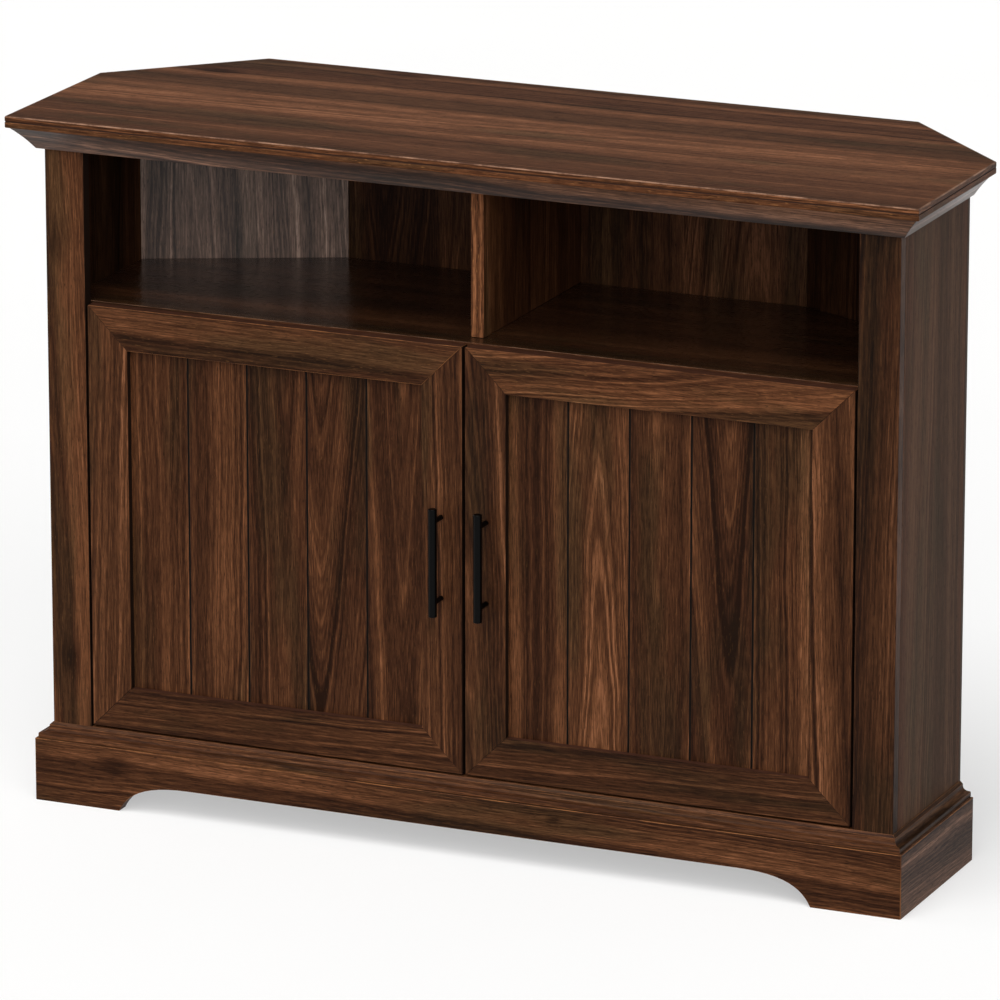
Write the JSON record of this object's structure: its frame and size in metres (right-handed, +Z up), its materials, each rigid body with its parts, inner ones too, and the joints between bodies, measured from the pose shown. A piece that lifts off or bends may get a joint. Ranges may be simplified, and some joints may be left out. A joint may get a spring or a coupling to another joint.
{
  "type": "corner tv cabinet",
  "caption": "Low corner media cabinet: top with cut rear corners on a crown moulding, open divided bay over hinged doors with boarded panels, and a scrolled plinth.",
  "frame": {"origin": "on the floor, under the middle of the top's box, half way between its front and back edges", "axes": "+Z up, the doors face -Y, +X to the right of someone facing the doors"},
  "size_m": [1.118, 0.394, 0.826],
  "materials": {
    "walnut_top": "satin dark walnut, grain along the width, edge a little redder",
    "walnut_carcass": "satin dark walnut laminate, grain along each board",
    "walnut_door": "satin dark walnut, upright grain, each board its own tone",
    "inner_board": "matt dark walnut laminate",
    "black_metal": "satin black",
    "nickel_steel": "nickel plated"
  },
  "bodies": {
    "carcass": {"top_panel": "walnut_top", "crown_front": "walnut_carcass", "crown_left": "walnut_carcass", "crown_right": "walnut_carcass", "top_rail": "walnut_carcass", "stile_left": "walnut_carcass", "stile_right": "walnut_carcass", "side_panel_left": "walnut_carcass", "side_panel_right": "walnut_carcass", "corner_back_left": "inner_board", "corner_back_right": "inner_board", "back_panel": "inner_board", "fixed_shelf": "walnut_carcass", "bottom_panel": "walnut_carcass", "upper_divider": "walnut_carcass", "lower_divider": "walnut_carcass", "hinge_packer_left": "walnut_carcass", "hinge_packer_right": "walnut_carcass", "plinth_front": "walnut_carcass", "plinth_side_left": "walnut_carcass", "plinth_side_right": "walnut_carcass", "plinth_cap_front": "walnut_carcass", "plinth_cap_left": "walnut_carcass", "plinth_cap_right": "walnut_carcass", "rear_base_rail": "inner_board", "loose_shelf_left": "inner_board", "loose_shelf_right": "inner_board", "shelf_peg_side_front_left": "nickel_steel", "shelf_peg_side_front_right": "nickel_steel", "shelf_peg_side_rear_left": "nickel_steel", "shelf_peg_side_rear_right": "nickel_steel", "shelf_peg_divider_front_left": "nickel_steel", "shelf_peg_divider_front_right": "nickel_steel", "shelf_peg_divider_rear_left": "nickel_steel", "shelf_peg_divider_rear_right": "nickel_steel", "hinge_arm_lower_left": "nickel_steel", "hinge_arm_lower_right": "nickel_steel", "hinge_arm_upper_left": "nickel_steel", "hinge_arm_upper_right": "nickel_steel"},
    "left_door": {"door_bottom_rail_left": "walnut_door", "door_top_rail_left": "walnut_door", "door_handle_stile_left": "walnut_door", "door_hinge_stile_left": "walnut_door", "door_panel_left": "walnut_door", "hinge_cup_lower_left": "nickel_steel", "hinge_cup_upper_left": "nickel_steel", "handle_bar_left": "black_metal", "handle_post_lower_left": "black_metal", "handle_post_upper_left": "black_metal"},
    "right_door": {"door_bottom_rail_right": "walnut_door", "door_top_rail_right": "walnut_door", "door_handle_stile_right": "walnut_door", "door_hinge_stile_right": "walnut_door", "door_panel_right": "walnut_door", "hinge_cup_lower_right": "nickel_steel", "hinge_cup_upper_right": "nickel_steel", "handle_bar_right": "black_metal", "handle_post_lower_right": "black_metal", "handle_post_upper_right": "black_metal"}
  },
  "joints": [
    {"name": "left_door_hinge", "type": "hinge", "parent": "carcass", "child": "left_door", "pos_m": [-0.4755, -0.162, 0.3495], "axis": [0, 0, -1], "range_deg": [0, 105]},
    {"name": "right_door_hinge", "type": "hinge", "parent": "carcass", "child": "right_door", "pos_m": [0.4755, -0.162, 0.3495], "axis": [0, 0, 1], "range_deg": [0, 105]}
  ]
}
